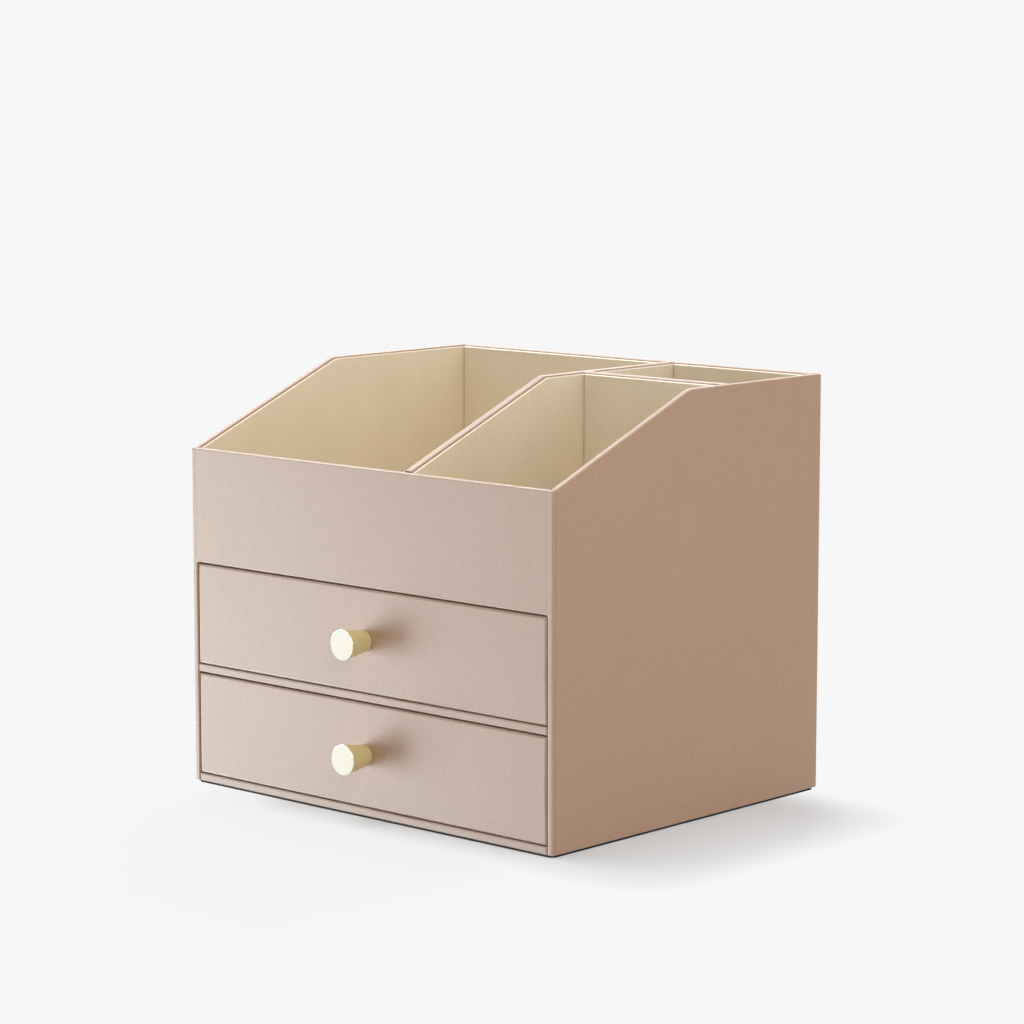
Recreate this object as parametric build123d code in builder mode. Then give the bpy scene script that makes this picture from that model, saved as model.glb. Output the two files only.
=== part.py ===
from build123d import *
from math import atan2, cos, tan
import os

# Desk organizer with open bays above two drawers, built like a leather-wrapped box:
# thin boards, leather folded over their edges, and satin lining sheets inside.
# X runs to the right, Y from the front to the back, Z up from the table.
# The origin is on the table, under the middle of the case. Depths are measured from the front face.

# Outside of the case, measured over the leather
case_w = 300.0
case_d = 245.0
back_h = 257.2
front_h = 209.2
slope_end = 120.0
side_bend_r = 14.0
divider_bend_r = 8.0

# Leather and boards
skin_t = 0.6
board_t = 3.0
arris_r = 0.4
turn_w = 14.0
fold_w = 1.8
seam = 0.2
seam_bevel = 0.35
corner_extra_r = 0.3

# Non-slip sheet under the case
sheet_t = 1.2
sheet_inset = 1.0
sheet_corner_r = 4.0

# Front view, from the bottom edge upwards
base_h = 4.9
lower_open_h = 64.4
shelf_h = 4.9
upper_open_h = 63.9
open_corner_r = 1.5

# Bays above the drawers
deck_t = 4.0
divider_x = 33.0
divider_board_t = 4.6
cross_y = 155.2
lining_t = 1.5
lining_drop = 1.0
lining_gap = 0.6

# Drawers
side_gap = 0.6
top_gap = 0.8
bottom_gap = 0.4
rear_gap = 3.0
drawer_board_t = 4.0
drawer_arris_r = 1.4
tray_inset = 0.6
tray_wall_t = 3.0
tray_wall_drop = 5.0
tray_bottom_t = 2.5
tray_lining_t = 1.0
front_lining_drop = 8.0

# Knobs and their screws
knob_len = 19.0
knob_face_r = 9.35
knob_foot_r = 6.2
knob_lip_bevel = 0.6
knob_foot_bevel = 0.3
bore_spare = 2.0
screw_r = 2.0
screw_bite = 11.0
screw_fit = 0.05
screw_hole_gap = 0.2
screw_head_r = 4.0
screw_head_h = 2.6
screw_bevel = 0.9
cross_slot_l = 4.2
cross_slot_w = 1.1
cross_slot_depth = 1.4

# Levels and planes worked out from the sizes above
wall_t = board_t + 2 * skin_t
edge_r = skin_t + arris_r
corner_r = edge_r + corner_extra_r
half_w = case_w / 2
case_front = -case_d / 2
inner_x = half_w - wall_t
board_x = inner_x + skin_t
bay_front = wall_t
bay_back = case_d - wall_t
case_low = sheet_t
front_top = case_low + front_h
back_top = case_low + back_h
base_top = case_low + base_h
lower_top = base_top + lower_open_h
shelf_top = lower_top + shelf_h
panel_low = shelf_top + upper_open_h
deck_top = panel_low + deck_t
floor_top = deck_top + lining_t
divider_t = divider_board_t + 2 * skin_t
divider_left = divider_x - divider_t / 2
divider_right = divider_x + divider_t / 2
cross_back = cross_y + divider_t
lining_bevel = lining_t / 3
tray_wall_r = tray_wall_t / 4
slope = atan2(back_h - front_h, slope_end - fold_w)

os.makedirs("parts", exist_ok=True)


def save(piece, name):
    """Label a finished piece and write it to its own file."""
    piece.label = name
    export_step(piece, f"parts/{name}.step")


def facing_front(depth):
    """Plane at a depth behind the front face, seen from the front: width to the right, height up."""
    return Plane(origin=(0, case_front + depth, 0), x_dir=(1, 0, 0), z_dir=(0, -1, 0))


def facing_side(x):
    """Plane seen from the right, for side views: depth from the front face, height up."""
    return Plane(origin=(x, case_front, 0), x_dir=(0, 1, 0), z_dir=(1, 0, 0))


def facing_up(z):
    """Level plane for plans: width to the right, depth from the front face."""
    return Plane(origin=(0, case_front, z))


def top_line(drop, y_low, y_high):
    """Three points along the stepped top of the walls, drop below it and square to it."""
    front_z = front_top + (y_low - fold_w) * tan(slope) - drop / cos(slope)
    flat_z = back_top - drop
    bend_y = y_low + (flat_z - front_z) / tan(slope)
    return [(y_low, front_z), (bend_y, flat_z), (y_high, flat_z)]


def wall_face(drop, y_low, y_high, z_low, bend_r):
    """Side view of a wall: square ends, and a top that slopes up, bends and runs flat."""
    line = top_line(drop, y_low, y_high)
    with BuildSketch() as face:
        with BuildLine():
            FilletPolyline(*line, radius=bend_r - drop)
            Polyline(line[-1], (y_high, z_low), (y_low, z_low), line[0])
        make_face()
    return face.sketch


def edge_strip(y_low, y_high, width, bend_r):
    """Side view of the strip of leather along the top of a wall."""
    line = top_line(0, y_low, y_high)
    under = top_line(width, y_low, y_high)
    with BuildSketch() as strip:
        with BuildLine():
            FilletPolyline(*line, radius=bend_r)
            Polyline(line[-1], *reversed(under), line[0])
        make_face()
    return strip.sketch


def slab(x_low, x_high, y_low, y_high, z_low, z_high):
    """Plain board between six planes."""
    with BuildPart() as board:
        with BuildSketch(facing_up(z_low)):
            with Locations(((x_low + x_high) / 2, (y_low + y_high) / 2)):
                Rectangle(x_high - x_low, y_high - y_low)
        extrude(amount=z_high - z_low)
    return board.part


def upright(face, x_low, x_high):
    """Board that stands front to back, with the given side view."""
    with BuildPart() as board:
        with BuildSketch(facing_side(x_low)):
            add(face)
        extrude(amount=x_high - x_low)
    return board.part


def top_edges(piece, across):
    """Edges round the upward faces of a piece, without those that run along the given axis."""
    top_faces = piece.faces().filter_by(lambda face: face.normal_at().Z > 0.5)
    return top_faces.edges().filter_by(across, reverse=True)


# Non-slip sheet, set in from the outline of the case
with BuildPart() as sheet:
    with BuildSketch(facing_up(0)):
        with Locations((0, case_d / 2)):
            RectangleRounded(case_w - 2 * sheet_inset, case_d - 2 * sheet_inset, sheet_corner_r)
    extrude(amount=sheet_t)
save(sheet.part, "non_slip_sheet")

# Side boards, with the slope of the case in their outline
side_board_face = wall_face(skin_t, skin_t, case_d - skin_t, case_low + skin_t, side_bend_r)
left_side_board = upright(side_board_face, -board_x - board_t, -board_x)
right_side_board = upright(side_board_face, board_x, board_x + board_t)
save(left_side_board, "left_side_board")
save(right_side_board, "right_side_board")

# Boards across the case: front panel, back, and the deck under the bays
front_board = slab(-inner_x, inner_x, skin_t, skin_t + board_t, panel_low + skin_t, front_top - skin_t)
save(front_board, "front_board")

back_half_w = inner_x - seam
back_board = slab(
    -back_half_w + skin_t, back_half_w - skin_t,
    bay_back + skin_t, case_d - skin_t,
    case_low + skin_t, back_top - skin_t,
)
save(back_board, "back_board")

deck_board = slab(-inner_x, inner_x, bay_front, bay_back, panel_low, deck_top)
save(deck_board, "deck_board")


def edge_board(z_low, height):
    """Board of the shelf or base: the front runs into its leather edge, which is closed at the ends."""
    with BuildPart() as board:
        with BuildSketch(facing_up(z_low + skin_t)):
            with Locations((0, (skin_t + turn_w) / 2)):
                Rectangle(2 * (inner_x - seam - skin_t), turn_w - skin_t)
            with Locations((0, (turn_w + bay_back) / 2)):
                Rectangle(2 * inner_x, bay_back - turn_w)
        extrude(amount=height - 2 * skin_t)
    return board.part


def edge_cover(board, z_low, height):
    """Leather folded over the front edge of the shelf or base."""
    with BuildPart() as cover:
        with BuildSketch(facing_front(0)):
            with Locations((0, z_low + height / 2)):
                Rectangle(2 * (inner_x - seam), height)
        extrude(amount=-turn_w)
        fillet(cover.faces().sort_by(Axis.Y)[0].edges(), edge_r)
        add(board, mode=Mode.SUBTRACT)
    return cover.part


shelf_board = edge_board(lower_top, shelf_h)
base_board = edge_board(case_low, base_h)
save(shelf_board, "shelf_board")
save(base_board, "base_board")
save(edge_cover(shelf_board, lower_top, shelf_h), "shelf_edge_cover")
save(edge_cover(base_board, case_low, base_h), "base_edge_cover")

# Front cover: one sheet over the panel and both side edges, folded round the outside,
# over the rim and into the drawer opening
with BuildPart() as front_cover:
    with BuildSketch(facing_front(0)) as outline:
        with Locations((0, case_low + front_h / 2)):
            Rectangle(case_w, front_h)
        fillet(outline.vertices(), corner_r)
        with BuildSketch(mode=Mode.SUBTRACT) as opening:
            with Locations((0, (case_low + panel_low) / 2)):
                Rectangle(2 * inner_x, panel_low - case_low)
            fillet(opening.vertices().group_by(Axis.Y)[-1], open_corner_r)
    extrude(amount=-wall_t)
    fillet(front_cover.faces().sort_by(Axis.Y)[0].edges(), edge_r)
    rim = front_cover.faces().sort_by(Axis.Z)[-1].edges().filter_by(Axis.X).sort_by(Axis.Y)[-1]
    fillet(rim, edge_r)
    for side in (-1, 1):
        with BuildSketch(facing_front(fold_w)):
            with Locations((side * (half_w - wall_t / 2), case_low + front_h / 2)):
                Rectangle(wall_t, front_h)
        extrude(amount=-wall_t, mode=Mode.SUBTRACT)
        with BuildSketch(facing_front(fold_w)):
            with Locations((side * (inner_x + skin_t / 2), (case_low + panel_low) / 2)):
                Rectangle(skin_t, panel_low - case_low)
        extrude(amount=fold_w - turn_w)
    with BuildSketch(facing_front(bay_front - skin_t)):
        with Locations((0, (panel_low + front_top) / 2)):
            Rectangle(2 * inner_x, front_top - panel_low - 2 * turn_w)
    extrude(amount=-skin_t, mode=Mode.SUBTRACT)
    add([left_side_board, right_side_board, front_board], mode=Mode.SUBTRACT)
save(front_cover.part, "front_cover")

# Side covers: outer face, rim, back edge and foot, with a turned-over strip inside
cover_front = fold_w + seam
cover_face = wall_face(0, cover_front, case_d, case_low, side_bend_r)
bare_line = top_line(turn_w, 0, case_d - turn_w)
for name, side, board in (("left", -1, left_side_board), ("right", 1, right_side_board)):
    with BuildPart() as side_cover:
        with BuildSketch(facing_side(side * inner_x)) as outline:
            add(cover_face)
            fillet(outline.vertices().group_by(Axis.X)[-1], corner_r)
        extrude(amount=side * wall_t)
        rim_edges = top_edges(side_cover, Axis.X).group_by(Axis.X)[::side][0]
        outer_face = side_cover.faces().filter_by(Axis.X).sort_by(Axis.X)[::side][-1]
        fillet(outer_face.edges().sort_by(Axis.Y)[1:] + rim_edges, edge_r)
        front_edges = side_cover.faces().sort_by(Axis.Y)[0].edges().filter_by(Axis.Z)
        chamfer(front_edges.sort_by(Axis.X)[::side][-1], seam_bevel)
        with BuildSketch(facing_side(side * inner_x)):
            Polygon(*bare_line, (case_d - turn_w, 0), (0, 0), align=None)
        extrude(amount=side * skin_t, mode=Mode.SUBTRACT)
        add(board, mode=Mode.SUBTRACT)
    save(side_cover.part, f"{name}_side_cover")

# Back cover, between the back edges of the sides
with BuildPart() as back_cover:
    with BuildSketch(facing_front(bay_back)):
        with Locations((0, case_low + back_h / 2)):
            Rectangle(2 * back_half_w, back_h)
    extrude(amount=-wall_t)
    fillet(back_cover.edges().filter_by(Axis.X), edge_r)
    chamfer(back_cover.faces().sort_by(Axis.Y)[-1].edges().filter_by(Axis.Z), seam_bevel)
    with BuildSketch(facing_front(bay_back)):
        with Locations((0, case_low + back_h / 2)):
            Rectangle(2 * (back_half_w - turn_w), back_h - 2 * turn_w)
    extrude(amount=-skin_t, mode=Mode.SUBTRACT)
    add(back_board, mode=Mode.SUBTRACT)
save(back_cover.part, "back_cover")

# Divider from front to back, with leather folded over its top
divider_face = wall_face(skin_t, bay_front, bay_back, deck_top, divider_bend_r)
divider_board = upright(divider_face, divider_left + skin_t, divider_right - skin_t)
save(divider_board, "divider_board")

with BuildPart() as divider_cover:
    with BuildSketch(facing_side(divider_left)):
        add(edge_strip(bay_front, bay_back, turn_w, divider_bend_r))
    extrude(amount=divider_t)
    fillet(top_edges(divider_cover, Axis.X), edge_r)
    add(divider_board, mode=Mode.SUBTRACT)
save(divider_cover.part, "divider_cover")

# Divider across the right side, between the small bay and the rear bay
cross_board = slab(
    divider_right, inner_x,
    cross_y + skin_t, cross_back - skin_t,
    deck_top, back_top - skin_t,
)
save(cross_board, "cross_divider_board")

with BuildPart() as cross_cover:
    with BuildSketch(facing_front(cross_y)):
        with Locations(((divider_right + inner_x) / 2, back_top - turn_w / 2)):
            Rectangle(inner_x - divider_right - 2 * seam, turn_w)
    extrude(amount=-divider_t)
    fillet(cross_cover.faces().sort_by(Axis.Z)[-1].edges().filter_by(Axis.X), edge_r)
    add(cross_board, mode=Mode.SUBTRACT)
save(cross_cover.part, "cross_divider_cover")


def flat_face(y_low, y_high):
    """Side view of a lining sheet in the rear bay, where the walls have no slope."""
    with BuildSketch() as face:
        with Locations(((y_low + y_high) / 2, (floor_top + back_top - lining_drop) / 2)):
            Rectangle(y_high - y_low, back_top - lining_drop - floor_top)
    return face.sketch


def side_lining(face, x_low):
    """Lining sheet along a side of a bay, with a softened top."""
    with BuildPart() as lining:
        with BuildSketch(facing_side(x_low)):
            add(face)
        extrude(amount=lining_t)
        chamfer(top_edges(lining, Axis.X), lining_bevel)
    return lining.part


def end_lining(x_low, x_high, y_low, z_high):
    """Lining sheet across a bay, between the sheets at its sides."""
    start, end = x_low + lining_t + lining_gap, x_high - lining_t - lining_gap
    with BuildPart() as lining:
        with BuildSketch(facing_up(floor_top)):
            with Locations(((start + end) / 2, y_low + lining_t / 2)):
                Rectangle(end - start, lining_t)
        extrude(amount=z_high - lining_drop - floor_top)
        chamfer(top_edges(lining, Axis.Y), lining_bevel)
    return lining.part


# Lining of the three bays: one sheet on each wall and one on the floor
left_face = wall_face(lining_drop, bay_front, bay_back, floor_top, side_bend_r)
left_divider_face = wall_face(lining_drop, bay_front, bay_back, floor_top, divider_bend_r)
right_divider_face = wall_face(lining_drop, bay_front, cross_y, floor_top, divider_bend_r)
right_face = wall_face(lining_drop, bay_front, cross_y, floor_top, side_bend_r)
rear_face = flat_face(cross_back, bay_back)
bays = (
    ("left_bay", -inner_x, divider_left, bay_front, bay_back, front_top, left_face, left_divider_face),
    ("right_bay", divider_right, inner_x, bay_front, cross_y, front_top, right_divider_face, right_face),
    ("rear_bay", divider_right, inner_x, cross_back, bay_back, back_top, rear_face, rear_face),
)
for name, x_low, x_high, y_low, y_high, near_top, low_face, high_face in bays:
    save(slab(x_low, x_high, y_low, y_high, deck_top, floor_top), f"{name}_floor_lining")
    save(side_lining(low_face, x_low), f"{name}_left_lining")
    save(side_lining(high_face, x_high - lining_t), f"{name}_right_lining")
    save(end_lining(x_low, x_high, y_low, near_top), f"{name}_front_lining")
    save(end_lining(x_low, x_high, y_high - lining_t, back_top), f"{name}_back_lining")

# Planes of the drawers
drawer_t = drawer_board_t + 2 * skin_t
drawer_half_w = inner_x - side_gap
tray_half_w = drawer_half_w - tray_inset
tray_inner_x = tray_half_w - tray_wall_t
tray_back = bay_back - rear_gap
head_y = drawer_t + tray_lining_t
screw_hole_r = screw_r + screw_hole_gap
bore_r = screw_r + screw_fit
bore_l = screw_bite + bore_spare


def tray_wall(x_low, x_high, y_low, y_high, z_low, z_high):
    """Wall of a drawer's tray, with softened top edges."""
    with BuildPart() as wall:
        with BuildSketch(facing_up(z_low)):
            with Locations(((x_low + x_high) / 2, (y_low + y_high) / 2)):
                Rectangle(x_high - x_low, y_high - y_low)
        extrude(amount=z_high - z_low)
        long_axis = Axis.X if x_high - x_low > y_high - y_low else Axis.Y
        fillet(wall.faces().sort_by(Axis.Z)[-1].edges().filter_by(long_axis), tray_wall_r)
    return wall.part


for name, open_low, open_high in (("lower", base_top, lower_top), ("upper", shelf_top, panel_low)):
    front_low = open_low + bottom_gap
    front_high = open_high - top_gap
    knob_z = (open_low + open_high) / 2
    axle = Plane(origin=(0, case_front, knob_z), x_dir=(0, 1, 0), z_dir=(1, 0, 0))
    knob_axis = Axis((0, case_front, knob_z), (0, 1, 0))

    with BuildPart() as drawer_board:
        with BuildSketch(facing_front(skin_t)):
            with Locations((0, (front_low + front_high) / 2)):
                Rectangle(2 * (drawer_half_w - skin_t), front_high - front_low - 2 * skin_t)
        extrude(amount=-drawer_board_t)
        fillet(drawer_board.faces().sort_by(Axis.Y)[0].edges(), drawer_arris_r)
        with BuildSketch(facing_front(0)):
            with Locations((0, knob_z)):
                Circle(screw_hole_r)
        extrude(amount=-drawer_t, mode=Mode.SUBTRACT)
    save(drawer_board.part, f"{name}_drawer_front_board")

    with BuildPart() as drawer_cover:
        with BuildSketch(facing_front(0)):
            with Locations((0, (front_low + front_high) / 2)):
                Rectangle(2 * drawer_half_w, front_high - front_low)
        extrude(amount=-drawer_t)
        fillet(drawer_cover.faces().sort_by(Axis.Y)[0].edges(), drawer_arris_r + skin_t)
        chamfer(drawer_cover.faces().sort_by(Axis.Y)[-1].edges(), seam_bevel)
        with BuildSketch(facing_front(drawer_t - skin_t)):
            with Locations((0, (front_low + front_high) / 2)):
                Rectangle(2 * (drawer_half_w - turn_w), front_high - front_low - 2 * turn_w)
        extrude(amount=-skin_t, mode=Mode.SUBTRACT)
        with BuildSketch(facing_front(0)):
            with Locations((0, knob_z)):
                Circle(screw_hole_r)
        extrude(amount=-drawer_t, mode=Mode.SUBTRACT)
        add(drawer_board.part, mode=Mode.SUBTRACT)
    save(drawer_cover.part, f"{name}_drawer_front_cover")

    tray_floor = front_low + tray_bottom_t
    wall_top = front_high - tray_wall_drop
    bottom = slab(-tray_half_w, tray_half_w, drawer_t, tray_back, front_low, tray_floor)
    save(bottom, f"{name}_drawer_bottom")
    left_wall = tray_wall(-tray_half_w, -tray_inner_x, drawer_t, tray_back, tray_floor, wall_top)
    save(left_wall, f"{name}_drawer_left_wall")
    right_wall = tray_wall(tray_inner_x, tray_half_w, drawer_t, tray_back, tray_floor, wall_top)
    save(right_wall, f"{name}_drawer_right_wall")
    back_wall = tray_wall(
        -tray_inner_x, tray_inner_x, tray_back - tray_wall_t, tray_back, tray_floor, wall_top,
    )
    save(back_wall, f"{name}_drawer_back_wall")
    lining_top = tray_floor + tray_lining_t
    floor_lining = slab(
        -tray_inner_x, tray_inner_x, drawer_t, tray_back - tray_wall_t, tray_floor, lining_top,
    )
    save(floor_lining, f"{name}_drawer_floor_lining")

    with BuildPart() as front_lining:
        with BuildSketch(facing_front(drawer_t)):
            with Locations((0, (lining_top + front_high - front_lining_drop) / 2)):
                Rectangle(2 * tray_inner_x, front_high - front_lining_drop - lining_top)
            with Locations((0, knob_z)):
                Circle(screw_hole_r, mode=Mode.SUBTRACT)
        extrude(amount=-tray_lining_t)
    save(front_lining.part, f"{name}_drawer_front_lining")

    with BuildPart() as knob:
        with BuildSketch(axle) as profile:
            Polygon(
                (0, bore_r), (0, knob_foot_r), (-knob_len, knob_face_r),
                (-knob_len, 0), (-bore_l, 0), (-bore_l, bore_r),
                align=None,
            )
            lip = profile.vertices().group_by(Axis.Y)[-1]
            chamfer(lip, knob_lip_bevel)
            foot = profile.vertices().group_by(Axis.X)[-1].sort_by(Axis.Y)[-1]
            chamfer(foot, knob_foot_bevel)
        revolve(axis=knob_axis)
    save(knob.part, f"{name}_knob")

    with BuildPart() as screw:
        with BuildSketch(axle) as profile:
            Polygon(
                (-screw_bite, 0), (-screw_bite, screw_r), (head_y, screw_r), (head_y, screw_head_r),
                (head_y + screw_head_h, screw_head_r), (head_y + screw_head_h, 0),
                align=None,
            )
            head_rim = profile.vertices().group_by(Axis.X)[-1].sort_by(Axis.Y)[-1]
            chamfer(head_rim, screw_bevel)
        revolve(axis=knob_axis)
        with BuildSketch(facing_front(head_y + screw_head_h)):
            with Locations((0, knob_z)):
                Rectangle(cross_slot_l, cross_slot_w)
                Rectangle(cross_slot_w, cross_slot_l)
        extrude(amount=cross_slot_depth, mode=Mode.SUBTRACT)
    save(screw.part, f"{name}_knob_screw")
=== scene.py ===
from math import cos, pi, radians, sin

import bmesh
import bpy
from mathutils import Matrix, Vector


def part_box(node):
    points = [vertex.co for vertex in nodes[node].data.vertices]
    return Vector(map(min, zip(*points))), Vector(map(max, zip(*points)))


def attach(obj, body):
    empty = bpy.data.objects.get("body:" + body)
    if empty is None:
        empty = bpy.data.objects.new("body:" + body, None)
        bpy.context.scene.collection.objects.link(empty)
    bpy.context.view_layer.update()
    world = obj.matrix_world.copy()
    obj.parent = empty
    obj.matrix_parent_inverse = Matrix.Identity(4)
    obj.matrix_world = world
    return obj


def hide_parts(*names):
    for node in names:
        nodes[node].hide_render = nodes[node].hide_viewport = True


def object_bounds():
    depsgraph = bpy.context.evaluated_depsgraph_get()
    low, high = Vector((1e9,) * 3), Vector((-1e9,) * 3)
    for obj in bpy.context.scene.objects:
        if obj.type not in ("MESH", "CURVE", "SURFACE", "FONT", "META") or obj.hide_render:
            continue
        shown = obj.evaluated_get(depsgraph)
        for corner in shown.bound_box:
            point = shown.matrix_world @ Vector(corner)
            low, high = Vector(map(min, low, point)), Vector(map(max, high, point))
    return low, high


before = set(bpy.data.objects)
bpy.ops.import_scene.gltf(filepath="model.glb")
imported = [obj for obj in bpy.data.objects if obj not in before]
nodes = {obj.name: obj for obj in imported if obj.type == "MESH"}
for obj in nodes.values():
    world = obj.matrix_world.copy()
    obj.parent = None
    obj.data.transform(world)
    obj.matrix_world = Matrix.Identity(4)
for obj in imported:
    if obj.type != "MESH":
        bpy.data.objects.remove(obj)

mm = 0.001
cad_low, cad_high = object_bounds()


# Camera. The organizer stands turned a little, seen from the right of its front and from just above
# the deck, through a long lens. Place, turn and lens were fitted to the edges of the case.
camera_place = (1.39916, -1.51896, 0.46268)
camera_pitch = 81.9801
camera_yaw = 42.5182
camera_lens = 119.04
camera_film = 36

lens = bpy.data.cameras.new("camera")
lens.lens = camera_lens
lens.sensor_width = camera_film
camera = bpy.data.objects.new("camera", lens)
camera.location = camera_place
camera.rotation_euler = (radians(camera_pitch), 0, radians(camera_yaw))
bpy.context.scene.collection.objects.link(camera)
bpy.context.scene.camera = camera
bpy.context.scene.view_settings.view_transform = "Standard"


# Boards. Nine boards of medium-density fibreboard make the case, and one more stiffens each drawer
# front. They are sawn, glued edge to edge and left raw; they show only inside, round the drawers.
board_pale = (184, 150, 112)
board_dark = (146, 112, 78)
board_speck = (112, 82, 56)
board_cloud = 18 * mm
board_fibre = 0.9 * mm
speck_spacing = 2.2 * mm
fibre_relief = 0.04


def paint(red, green, blue):
    """Screen colour, written 0 to 255, as the light values that a material takes."""
    light = []
    for value in (red, green, blue):
        share = value / 255
        light.append(share / 12.92 if share <= 0.04045 else ((share + 0.055) / 1.055) ** 2.4)
    return (*light, 1)


class Wire:
    """A value on its way through a material. Arithmetic on it adds Math nodes."""

    def __init__(self, owner, socket):
        self.owner = owner
        self.socket = socket

    def maths(self, operation, *others):
        return self.owner.node("Math", {"operation": operation}, dict(enumerate((self, *others))))

    def __add__(self, other):
        return self.maths("ADD", other)

    def __sub__(self, other):
        return self.maths("SUBTRACT", other)

    def __rsub__(self, other):
        return self.owner.node("Math", {"operation": "SUBTRACT"}, {0: other, 1: self})

    def __mul__(self, other):
        return self.maths("MULTIPLY", other)

    __radd__ = __add__
    __rmul__ = __mul__

    def __abs__(self):
        return self.maths("ABSOLUTE")

    def most(self, other):
        return self.maths("MAXIMUM", other)

    def root(self):
        return self.maths("SQRT")

    def wave(self, length):
        """Even ripples from -1 to 1, each of the given length."""
        return (self * (2 * pi / length)).maths("SINE")

    def rise(self, low, high):
        """0 below low, 1 above high and a smooth slope between."""
        sockets = {"Value": self, "From Min": low, "From Max": high}
        return self.owner.node("MapRange", {"interpolation_type": "SMOOTHSTEP"}, sockets)

    def line(self, place, width):
        """1 where the value is at place, falling smoothly to 0 a width away."""
        return 1 - abs(self - place).rise(0, width)

    def beside(self, name):
        """Another output of the same node."""
        return Wire(self.owner, self.socket.node.outputs[name])


class Nodes:
    """The nodes of a material or of the room, and the one way in which they are added."""

    def __init__(self, holder):
        holder.use_nodes = True
        self.tree = holder.node_tree
        self.tree.nodes.clear()

    def node(self, kind, settings, sockets, output=0):
        """Add a node: its settings first, then the values or links of its sockets."""
        node = self.tree.nodes.new("ShaderNode" + kind)
        for name, value in settings.items():
            setattr(node, name, value)
        usable = {socket.name: socket for socket in reversed(node.inputs) if socket.enabled}
        for key, value in sockets.items():
            socket = usable[key] if isinstance(key, str) else node.inputs[key]
            if isinstance(value, Wire):
                self.tree.links.new(value.socket, socket)
            else:
                socket.default_value = value
        if isinstance(output, str):
            shown = [socket for socket in node.outputs if socket.enabled and socket.name == output]
            return Wire(self, shown[0])
        return Wire(self, node.outputs[output]) if node.outputs else None


class Finish(Nodes):
    """A material whose patterns follow the place on the part."""

    def __init__(self, name):
        self.material = bpy.data.materials.new(name)
        super().__init__(self.material)
        self.place = self.node("TexCoord", {}, {}, "Object")
        self.x = self.node("SeparateXYZ", {}, {"Vector": self.place})
        self.y = self.x.beside("Y")
        self.z = self.x.beside("Z")

    def noise(self, size, detail=2.0, place=None):
        """Cloudy values from 0 to 1, with features of about the given size."""
        sockets = {"Vector": place or self.place, "Scale": 1 / size, "Detail": detail}
        return self.node("TexNoise", {}, sockets)

    def cells(self, size, smoothness=0.5):
        """Distance to the nearest of many scattered points, 0 at the points."""
        sockets = {"Vector": self.place, "Scale": 1 / size, "Smoothness": smoothness}
        return self.node("TexVoronoi", {"feature": "SMOOTH_F1"}, sockets)

    def mix(self, share, first, second):
        """Second colour laid over the first by the share."""
        sockets = {"Factor": share, "A": first, "B": second}
        return self.node("Mix", {"data_type": "RGBA"}, sockets, "Result")

    def arris(self):
        """0 on flat faces, which all look along an axis, up to 1 on the rounded edges between."""
        normal = self.node("TexCoord", {}, {}, "Normal")
        across = self.node("SeparateXYZ", {}, {"Vector": normal})
        flat = abs(across).most(abs(across.beside("Y"))).most(abs(across.beside("Z")))
        return (1 - flat).rise(0.05, 0.26)

    def close(self, colour, roughness, height, metallic=0.0, **constants):
        """Finish with the shader. Height is a relief in millimetres."""
        relief = self.node("Bump", {}, {"Strength": 1.0, "Distance": mm, "Height": height})
        sockets = {name.replace("_", " "): value for name, value in constants.items()}
        sockets.update({"Base Color": colour, "Roughness": roughness, "Metallic": metallic})
        shader = self.node("BsdfPrincipled", {}, {**sockets, "Normal": relief})
        self.node("OutputMaterial", {}, {"Surface": shader})
        return self.material


def raw_board():
    """Sawn fibreboard: matted fibres, cloudy shades and scattered dark specks."""
    board = Finish("raw_board")
    clouds = board.noise(board_cloud, 3.0)
    fibres = board.noise(board_fibre, 4.0)
    specks = 1 - board.cells(speck_spacing).rise(0.05, 0.2)
    tone = (clouds * 0.5 + fibres * 0.6).rise(0.25, 0.85)
    colour = board.mix(tone, paint(*board_dark), paint(*board_pale))
    colour = board.mix(specks * 0.25, colour, paint(*board_speck))
    roughness = 0.78 + fibres * 0.12
    return board.close(colour, roughness, fibres * fibre_relief, Specular_IOR_Level=0.3)


def dress(material, *names):
    """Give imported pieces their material."""
    for name in names:
        node = nodes[name]
        node.data.materials.clear()
        node.data.materials.append(material)


dress(
    raw_board(),
    "left_side_board", "right_side_board", "front_board", "back_board", "deck_board", "shelf_board",
    "base_board", "divider_board", "cross_divider_board",
    "lower_drawer_front_board", "upper_drawer_front_board",
)


# Leather. Every outer face is dusty nude leatherette, a fine-grained coated cloth 0.6 mm thick,
# glued to the boards, folded over their edges and turned over on the inside. It is matt, with a
# soft white sheen towards the light, a little worn and paler where it is stretched over an edge.
leather_pale = (165, 130, 103)
leather_deep = (158, 123, 96)
pore_and_painted_shade = (146, 112, 87)
leather_worn = (190, 162, 142)
leather_cloud = 60 * mm
leather_patch = 4.5 * mm
leather_grain = 1.3 * mm
leather_pores = 0.34 * mm
leather_wave = 46 * mm
grain_relief = 0.028
pore_relief = 0.008
wave_relief = 0.09
crease_depth = 0.12
leather_rough = 0.5
case_wear = 0.45
crease_painted_shade = 0.55
seam_width = 1.3 * mm
seam_fade = 0.4 * mm
joint_width = 0.9 * mm
joint_fade = 4 * mm
joint_share = 0.35


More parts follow.
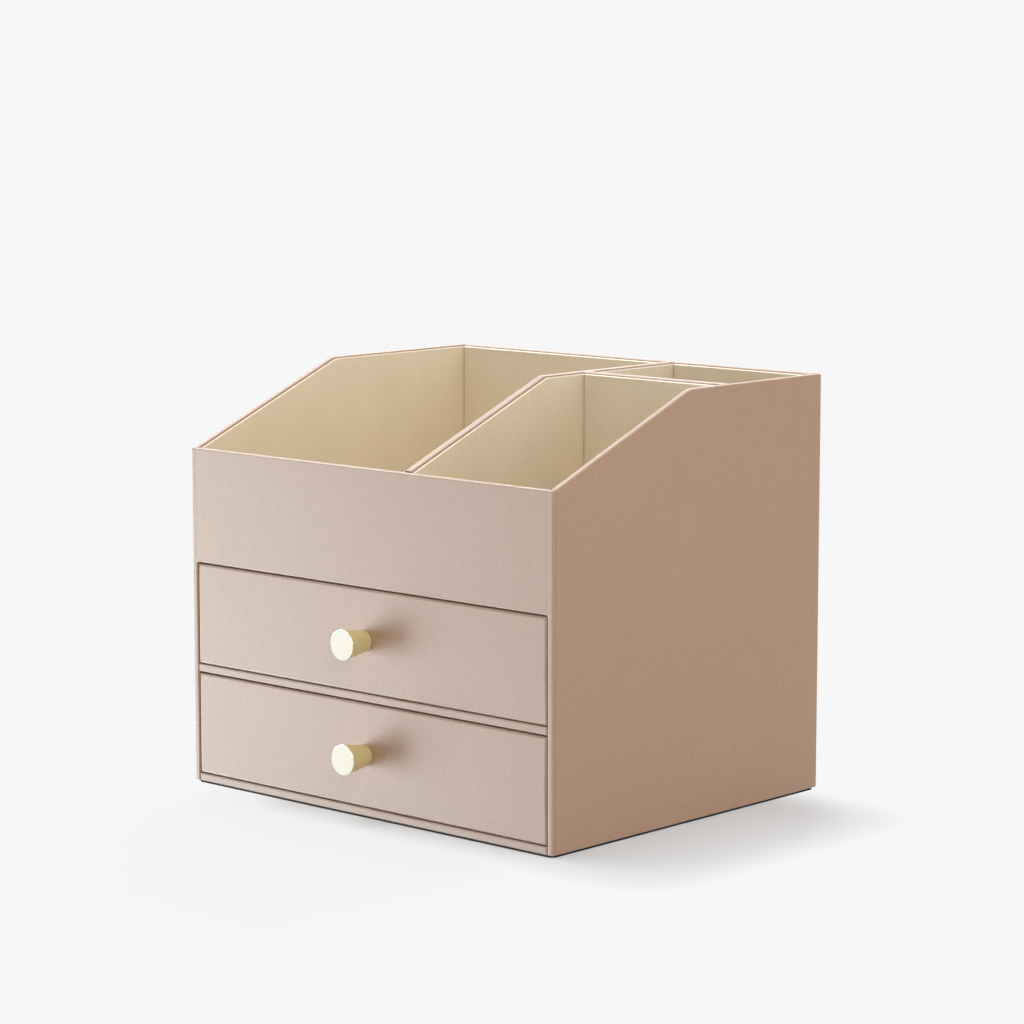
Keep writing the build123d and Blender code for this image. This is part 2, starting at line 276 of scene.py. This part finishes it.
def leather(name, wear, crease):
    """Leatherette. Wear is how pale its edges are; crease gives 0 to 1 from the finish's place,
    where the relief dips and the colour takes painted shade.
    """
    skin = Finish(name)
    clouds = skin.noise(leather_cloud, 2.0)
    patches = skin.noise(leather_patch, 2.0)
    pebbles = 1 - skin.cells(leather_grain, 0.4).rise(0.05, 0.75)
    pores = skin.noise(leather_pores, 2.0)
    waves = skin.noise(leather_wave, 1.0)
    tone = (clouds * 0.2 + patches * 0.35 + pebbles * 0.35).rise(0.2, 0.75)
    colour = skin.mix(tone, paint(*leather_deep), paint(*leather_pale))
    colour = skin.mix((0.5 - pebbles).rise(0, 0.5) * 0.2, colour, paint(*pore_and_painted_shade))
    worn = skin.arris()
    colour = skin.mix(worn * (0.5 + patches) * wear, colour, paint(*leather_worn))
    height = pebbles * grain_relief + pores * pore_relief + waves * wave_relief
    roughness = leather_rough + (patches - 0.5) * 0.12 - worn * 0.06
    # Painted shade: along creases, seams and tucks the colour darkens towards the pore colour,
    # standing in for the shade in the dip.
    fold = crease(skin)
    colour = skin.mix(fold * crease_painted_shade, colour, paint(*pore_and_painted_shade))
    height = height - fold * crease_depth
    roughness = roughness + fold * 0.06
    sheen = {"Specular_IOR_Level": 0.75, "Sheen_Weight": 0.3, "Sheen_Roughness": 0.4}
    return skin.close(colour, roughness, height, **sheen)


front_low, front_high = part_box("front_cover")
seam_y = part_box("right_side_cover")[0].y
inner_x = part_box("front_board")[1].x
opening_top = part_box("deck_board")[0].z


def case_seams(skin):
    """The dip where two covers meet on each side, and the front board's joints showing through,
    both darkened with painted shade.
    """
    outer = abs(skin.x).rise(front_high.x - 2 * seam_fade, front_high.x - seam_fade)
    seam = skin.y.line(seam_y, seam_width) * outer
    ahead = 1 - skin.y.rise(front_low.y + seam_fade / 2, front_low.y + seam_fade * 3 / 2)
    above = skin.z.rise(opening_top, opening_top + joint_fade)
    joint = abs(skin.x).line(inner_x, joint_width) * ahead * above
    return seam.most(joint * joint_share)


dress(
    leather("case_leather", case_wear, case_seams),
    "left_side_cover", "right_side_cover", "front_cover", "back_cover", "shelf_edge_cover",
    "base_edge_cover", "divider_cover", "cross_divider_cover",
)


# Linings. Each bay has a sheet on every wall and one on the floor: card wrapped in champagne
# satin leatherette with a pearly sheen, pushed in after the case was covered.
lining_pale = (226, 212, 187)
lining_deep = (212, 196, 169)
lining_edge_painted_highlight = (240, 230, 212)
lining_cloud = 30 * mm
lining_grain = 0.6 * mm
lining_thread = 1.6 * mm
lining_relief = 0.02
lining_swell = 0.05


def satin(name):
    """Pearly champagne lining with a very fine grain, and a painted highlight along its rounded
    edges.
    """
    cloth = Finish(name)
    clouds = cloth.noise(lining_cloud, 2.0)
    grain = cloth.cells(lining_grain, 0.3)
    threads = cloth.noise(lining_thread, 3.0)
    tone = (clouds * 0.3 + threads * 0.5 + grain * 0.3).rise(0.2, 0.9)
    colour = cloth.mix(tone, paint(*lining_deep), paint(*lining_pale))
    # Painted highlight: rounded edges take a paler cream colour that stands in for the light caught
    # there.
    colour = cloth.mix(cloth.arris() * 0.8, colour, paint(*lining_edge_painted_highlight))
    roughness = 0.42 + threads * 0.14
    height = grain * lining_relief + clouds * lining_swell
    return cloth.close(colour, roughness, height, metallic=0.15, Sheen_Weight=0.2)


satin_lining = satin("satin_lining")
bay_linings = [f"{bay}_{side}_lining" for bay in ("left_bay", "right_bay", "rear_bay")
               for side in ("floor", "left", "right", "front", "back")]
dress(satin_lining, *bay_linings)


# Drawer trays. Behind each front stands a tray of fibreboard wrapped in lining paper of the same
# champagne shade, glued at the corners, with a lining sheet on its floor and behind the front.
paper_pale = (214, 198, 170)
paper_deep = (196, 178, 148)
paper_cloud = 26 * mm
paper_thread = 0.7 * mm
paper_relief = 0.02


def lining_paper():
    """Smooth paper with a printed, cloth-like grain."""
    paper = Finish("lining_paper")
    threads = [place.wave(paper_thread) for place in (paper.x, paper.y, paper.z)]
    weave = (threads[0] + threads[1] + threads[2]).rise(-1.6, 1.6)
    clouds = paper.noise(paper_cloud, 2.0)
    tone = clouds * 0.6 + weave * 0.4
    colour = paper.mix(tone.rise(0.2, 0.8), paint(*paper_deep), paint(*paper_pale))
    roughness = 0.56 + weave * 0.1
    return paper.close(colour, roughness, weave * paper_relief, Specular_IOR_Level=0.4)


tray_paper = lining_paper()
for drawer in ("lower", "upper"):
    for wall in ("left_wall", "right_wall", "back_wall", "bottom"):
        dress(tray_paper, f"{drawer}_drawer_{wall}")
    dress(satin_lining, f"{drawer}_drawer_floor_lining", f"{drawer}_drawer_front_lining")


# Drawer fronts. One piece of the leatherette is stretched over each front board, folded round its
# edges with a mitred tuck at every corner, and turned over behind, round a bare window.
front_round = 1.7 * mm
front_skin = 0.55 * mm
front_turn = 14.0 * mm
front_slit = 4.4 * mm
tuck_reach = 3.2 * mm
tuck_width = 0.35 * mm
drawer_wear = 0.1


def make_piece(name, mesh_source, material, body, slot_name, *stands_for):
    """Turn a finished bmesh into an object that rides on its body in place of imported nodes."""
    mesh = bpy.data.meshes.new(name)
    bmesh.ops.recalc_face_normals(mesh_source, faces=mesh_source.faces)
    mesh_source.to_mesh(mesh)
    mesh_source.free()
    mesh.shade_smooth()
    mesh.set_sharp_from_angle(angle=radians(50))
    mesh.materials.append(material)
    piece = bpy.data.objects.new(name, mesh)
    bpy.context.scene.collection.objects.link(piece)
    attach(piece, body)
    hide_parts(*stands_for)
    return piece


def even_shading(piece):
    """Keep flat faces flat between rounded edges."""
    shading = piece.modifiers.new("even_shading", "WEIGHTED_NORMAL")
    shading.keep_sharp = True


def faces_looking(shape, direction):
    """Faces whose normal points along a direction."""
    return [face for face in shape.faces if face.normal.dot(Vector(direction)) > 0.999]


def round_edges(shape, edges, radius, segments):
    """Round the given edges."""
    bmesh.ops.bevel(
        shape, geom=edges, offset=radius, segments=segments, profile=0.5,
        affect="EDGES", material=-1,
    )


def knob_height(name):
    """Height of the axis of a drawer's knob."""
    low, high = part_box(f"{name}_knob")
    return (low.z + high.z) / 2


def drawer_front(name):
    """Cover with round front edges, turned over behind and open where the screw goes through."""
    low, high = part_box(f"{name}_drawer_front_cover")
    middle = (low + high) / 2
    size = high - low
    slit_middle = Vector((0, low.y, knob_height(name)))

    def tucks(skin):
        """Diagonal tuck from each corner of the front across its rounded edge, a dip darkened with
        painted shade.
        """
        from_side = size.x / 2 - abs(skin.x)
        from_end = size.z / 2 - abs(skin.z - middle.z)
        mitre = (from_side - from_end).line(0, tuck_width)
        near = 1 - from_side.most(from_end).rise(tuck_reach * 0.6, tuck_reach)
        ahead = 1 - (skin.y - low.y).rise(size.y * 0.6, size.y * 0.8)
        return mitre * near * ahead

    shape = bmesh.new()
    block = Matrix.Translation(middle) @ Matrix.Diagonal((*size, 1))
    bmesh.ops.create_cube(shape, size=1, matrix=block)
    face = faces_looking(shape, (0, -1, 0))[0]
    round_edges(shape, list(face.edges), front_round, 7)
    back = faces_looking(shape, (0, 1, 0))[0]
    bmesh.ops.inset_region(shape, faces=[back], thickness=front_turn)
    bmesh.ops.delete(shape, geom=[back], context="FACES")
    for axis in (Vector((1, 0, 0)), Vector((0, 0, 1))):
        for offset in (-front_slit / 2, front_slit / 2):
            bmesh.ops.bisect_plane(
                shape, geom=shape.verts[:] + shape.edges[:] + shape.faces[:],
                plane_co=slit_middle + axis * offset, plane_no=axis,
            )
    slit = [
        face for face in faces_looking(shape, (0, -1, 0))
        if (face.calc_center_median() - slit_middle).length < front_slit / 4
    ]
    bmesh.ops.delete(shape, geom=slit, context="FACES")
    cover = make_piece(
        f"{name}_drawer_leather", shape, leather(f"{name}_drawer_leather", drawer_wear, tucks),
        f"{name}_drawer", "leather", f"{name}_drawer_front_cover",
    )
    wall = cover.modifiers.new("thickness", "SOLIDIFY")
    wall.thickness = front_skin
    wall.offset = -1
    even_shading(cover)


for drawer in ("lower", "upper"):
    drawer_front(drawer)


# Knobs. Each is turned from a brass bar: a cone that widens towards a flat face with a soft lip,
# satin polished and lacquered. A blind hole in its foot takes the screw from inside the drawer.
brass_pale = (250, 238, 182)
brass_deep = (240, 226, 166)
brass_face_painted_highlight = (252, 249, 236)
lathe_ring = 0.16 * mm
lathe_band = 1.1 * mm
brass_haze = 5 * mm
brass_rough, face_rough = 0.34, 0.08
brass_metallic, face_metallic = 0.42, 0.95
face_start, face_end = 0.1 * mm, 0.5 * mm
ring_relief = 0.0016
knob_face = 9.3775 * mm
knob_foot = 6.2 * mm
knob_lip = 0.7 * mm
knob_foot_edge = 0.3 * mm
knob_sides = 128
bore_radius = 2.05 * mm
bore_length = 13.0 * mm


def brass(name, axis_z, face_y):
    """Satin brass with fine rings from the lathe, cut smoother on the flat face, whose near-white
    colour is a painted highlight.
    """
    metal = Finish(name)
    up = metal.z - axis_z
    radius = (metal.x * metal.x + up * up).root()
    turned = metal.node("CombineXYZ", {}, {"X": radius, "Y": metal.y, "Z": 0.0})
    rings = metal.noise(lathe_ring, 2.0, turned)
    bands = metal.noise(lathe_band, 2.0, turned)
    haze = metal.noise(brass_haze, 2.0)
    tone = (haze * 0.5 + bands * 0.5).rise(0.3, 0.7)
    colour = metal.mix(tone, paint(*brass_deep), paint(*brass_pale))
    face_polish_and_highlight = 1 - (metal.y - face_y).rise(face_start, face_end)
    # Painted highlight: the flat face takes a near-white colour that stands in for its bright
    # reflection; it is also smoother and more metallic.
    colour = metal.mix(face_polish_and_highlight, colour, paint(*brass_face_painted_highlight))
    roughness = (brass_rough + rings * 0.1) * (1 - face_polish_and_highlight) + face_polish_and_highlight * face_rough
    metallic = brass_metallic + face_polish_and_highlight * (face_metallic - brass_metallic)
    relief = rings * (1 - face_polish_and_highlight) * ring_relief
    return metal.close(colour, roughness, relief, metallic, Coat_Weight=0.3, Coat_Roughness=0.12)


def knob(name):
    """Turned cone with a soft lip round its face and a blind bore in its foot."""
    low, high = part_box(f"{name}_knob")
    length = high.y - low.y
    axis_z = knob_height(name)
    shape = bmesh.new()
    middle = Matrix.Translation((0, (low.y + high.y) / 2, axis_z))
    stand = middle @ Matrix.Rotation(radians(90), 4, "X")
    bmesh.ops.create_cone(
        shape, cap_ends=True, segments=knob_sides, radius1=knob_foot, radius2=knob_face,
        depth=length, matrix=stand,
    )
    face = faces_looking(shape, (0, -1, 0))[0]
    round_edges(shape, list(face.edges), knob_lip, 6)
    foot = faces_looking(shape, (0, 1, 0))[0]
    round_edges(shape, list(foot.edges), knob_foot_edge, 2)
    foot = faces_looking(shape, (0, 1, 0))[0]
    bmesh.ops.inset_region(
        shape, faces=[foot], thickness=knob_foot - knob_foot_edge - bore_radius,
    )
    bore = bmesh.ops.extrude_face_region(shape, geom=[foot])["geom"]
    bmesh.ops.delete(shape, geom=[foot], context="FACES_ONLY")
    inside = [item for item in bore if isinstance(item, bmesh.types.BMVert)]
    bmesh.ops.translate(shape, verts=inside, vec=(0, -bore_length, 0))
    turned = make_piece(
        f"{name}_turned_knob", shape, brass(f"{name}_brass", axis_z, low.y),
        f"{name}_drawer", "brass", f"{name}_knob",
    )
    even_shading(turned)


for drawer in ("lower", "upper"):
    knob(drawer)


# Knob screws. A zinc-plated pan-head machine screw with a cross recess goes through each front
# from inside the tray and pulls the knob against the leather.
screw_shank = 2.0 * mm
screw_head = 4.0 * mm
screw_head_height = 2.6 * mm
screw_dome = 1.3 * mm
recess_arm = 2.1 * mm
recess_half = 0.55 * mm
recess_depth = 1.4 * mm
recess_draft = 0.15 * mm
screw_sides = 48
zinc_pale = (206, 208, 210)
zinc_deep = (168, 172, 176)
zinc_cloud = 1.4 * mm
zinc_grit = 0.12 * mm
zinc_relief = 0.003


def zinc():
    """Zinc plating: pale blue-grey, slightly cloudy and gritty."""
    plate = Finish("zinc_plating")
    clouds = plate.noise(zinc_cloud, 3.0)
    grit = plate.noise(zinc_grit, 2.0)
    colour = plate.mix(clouds.rise(0.3, 0.7), paint(*zinc_deep), paint(*zinc_pale))
    return plate.close(colour, 0.3 + clouds * 0.18, grit * zinc_relief, metallic=1.0)


zinc_plating = zinc()


def knob_screw(name):
    """Domed head with a tapered cross recess, and a plain shank."""
    low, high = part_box(f"{name}_knob_screw")
    axis = Vector((0, 0, (low.z + high.z) / 2))
    under_head = high.y - screw_head_height
    shape = bmesh.new()
    stand = Matrix.Translation(axis + Vector((0, high.y - screw_head_height / 2, 0)))
    bmesh.ops.create_cone(
        shape, cap_ends=True, segments=screw_sides, radius1=screw_head, radius2=screw_head,
        depth=screw_head_height, matrix=stand @ Matrix.Rotation(radians(90), 4, "X"),
    )
    top = faces_looking(shape, (0, 1, 0))[0]
    round_edges(shape, list(top.edges), screw_dome, 5)
    under = faces_looking(shape, (0, -1, 0))[0]
    bmesh.ops.inset_region(shape, faces=[under], thickness=screw_head - screw_shank)
    shank = bmesh.ops.extrude_face_region(shape, geom=[under])["geom"]
    bmesh.ops.delete(shape, geom=[under], context="FACES_ONLY")
    tip = [item for item in shank if isinstance(item, bmesh.types.BMVert)]
    bmesh.ops.translate(shape, verts=tip, vec=(0, low.y - under_head, 0))
    for normal in ((1, 0, 0), (0, 0, 1)):
        for offset in (-recess_arm, -recess_half, recess_half, recess_arm):
            top = faces_looking(shape, (0, 1, 0))
            edges = dict.fromkeys(edge for face in top for edge in face.edges)
            verts = dict.fromkeys(vert for face in top for vert in face.verts)
            bmesh.ops.bisect_plane(
                shape, geom=[*verts, *edges, *top],
                plane_co=axis + Vector(normal) * offset, plane_no=normal,
            )
    cross = []
    for face in faces_looking(shape, (0, 1, 0)):
        offset = face.calc_center_median() - axis
        across, along = sorted((abs(offset.x), abs(offset.z)))
        if along < recess_arm and across < recess_half:
            cross.append(face)
    bmesh.ops.inset_region(
        shape, faces=cross, thickness=recess_draft, depth=-recess_depth, use_even_offset=True,
    )
    screw = make_piece(
        f"{name}_pan_head_screw", shape, zinc_plating,
        f"{name}_drawer", "screw", f"{name}_knob_screw",
    )
    even_shading(screw)


for drawer in ("lower", "upper"):
    knob_screw(drawer)


# Non-slip sheet. A black foamed rubber sheet is glued under the whole case, set in from its
# outline, so that only a dark line shows between the leather and the table.
rubber_black = (26, 25, 26)
rubber_dust = (58, 56, 55)
rubber_cell = 0.8 * mm
dust_patch = 9 * mm
rubber_relief = 0.06


def rubber():
    """Matt black foam with tiny closed cells."""
    foam = Finish("non_slip_rubber")
    bubbles = foam.cells(rubber_cell, 0.2)
    dust = foam.noise(dust_patch, 3.0)
    colour = foam.mix(dust.rise(0.4, 0.8) * 0.5, paint(*rubber_black), paint(*rubber_dust))
    roughness = 0.85 + bubbles * 0.1
    return foam.close(colour, roughness, bubbles * rubber_relief, Specular_IOR_Level=0.25)


dress(rubber(), "non_slip_sheet")


# Studio. A pale room and a pale floor that lets light through. Soft lamps stand right, behind and
# overhead. Two cards on the left add only sheen: a low one for the front, a high one for its edges.
# Both lists give azimuth and elevation in degrees, distance, width and height in metres, and watts.
room_white = 0.93
room_fill = 0.28
lamps = (
    ("right_front_lamp", 46, 25, 1.9, 1.1, 1.1, 13.0),
    ("right_lamp", 106, 22, 1.9, 1.2, 1.2, 11.5),
    ("top_lamp", -80, 75, 1.9, 1.2, 1.2, 18.5),
    ("back_lamp", -128, 32, 2.0, 1.6, 1.2, 28.0),
)
sheen_cards = (
    ("low_card", -64, -19, 2.0, 1.1, 1.7, 96.0),
    ("high_card", -79, 41, 2.0, 1.2, 0.8, 24.0),
)
floor_size = 12.0
floor_white = (243, 247, 250)
floor_fade = 60 * mm
shade_left, shade_right = -100 * mm, 50 * mm
shade_front, shade_back = -36 * mm, -60 * mm
drawer_travel = 185 * mm
drawer_shade = 0.15
drawer_white = (219, 222, 225)


def lamp(name, azimuth, elevation, distance, width, height, power):
    """Soft lamp that looks at the middle of the case from a direction round its front."""
    light = bpy.data.lights.new(name, "AREA")
    light.shape = "RECTANGLE"
    light.size = width
    light.size_y = height
    light.energy = power
    turn, lift = radians(azimuth), radians(elevation)
    away = Vector((sin(turn) * cos(lift), -cos(turn) * cos(lift), sin(lift)))
    holder = bpy.data.objects.new(name, light)
    holder.location = (cad_low + cad_high) / 2 + away * distance
    holder.rotation_euler = away.to_track_quat("Z", "Y").to_euler()
    bpy.context.scene.collection.objects.link(holder)
    return holder


for settings in lamps:
    lamp(*settings)
for settings in sheen_cards:
    lamp(*settings).visible_diffuse = False


def outside(value, low, high):
    """How far a value lies outside a range."""
    return (low - value).most(value - high).most(0)


def studio_floor():
    """Diffuse white round the case, a share of it under open drawers, and plain white beyond."""
    sheet = Finish("studio_floor")

    def away_from(left, right, front, back):
        """0 inside a rectangle on the floor, rising to 1 round it."""
        beside = outside(sheet.x, cad_low.x - left, cad_high.x + right)
        ahead = outside(sheet.y, cad_low.y - front, cad_high.y + back)
        return (beside * beside + ahead * ahead).root().rise(0, floor_fade)

    near = 1 - away_from(shade_left, shade_right, shade_front, shade_back)
    under_drawers = 1 - away_from(-floor_fade, -floor_fade / 2, drawer_travel, shade_back)
    away = 1 - near.most(under_drawers * drawer_shade)
    white = sheet.mix(near, paint(*drawer_white), paint(*floor_white))
    seen = sheet.node("LightPath", {}, {}, "Is Camera Ray")
    mirrored = seen.beside("Is Glossy Ray")
    diffuse = sheet.node("BsdfDiffuse", {}, {"Color": white})
    glow = sheet.node("Emission", {}, {"Color": (1, 1, 1, 1), "Strength": room_white})
    blend = sheet.node("MixShader", {}, {"Fac": away * seen.most(mirrored), 1: diffuse, 2: glow})
    sheet.node("OutputMaterial", {}, {"Surface": blend})
    return sheet.material


floor_shape = bmesh.new()
bmesh.ops.create_grid(floor_shape, x_segments=8, y_segments=8, size=floor_size / 2)
floor_mesh = bpy.data.meshes.new("floor")
floor_shape.to_mesh(floor_mesh)
floor_shape.free()
floor_mesh.materials.append(studio_floor())
floor = bpy.data.objects.new("floor", floor_mesh)
floor.visible_shadow = False
bpy.context.scene.collection.objects.link(floor)

room = bpy.data.worlds.new("room")
bpy.context.scene.world = room
air = Nodes(room)
seen = air.node("LightPath", {}, {}, "Is Camera Ray")
shown = seen.most(seen.beside("Is Glossy Ray"))
strength = room_fill + shown * (room_white - room_fill)
sky = air.node("Background", {}, {"Color": (1, 1, 1, 1), "Strength": strength})
air.node("OutputWorld", {}, {"Surface": sky})
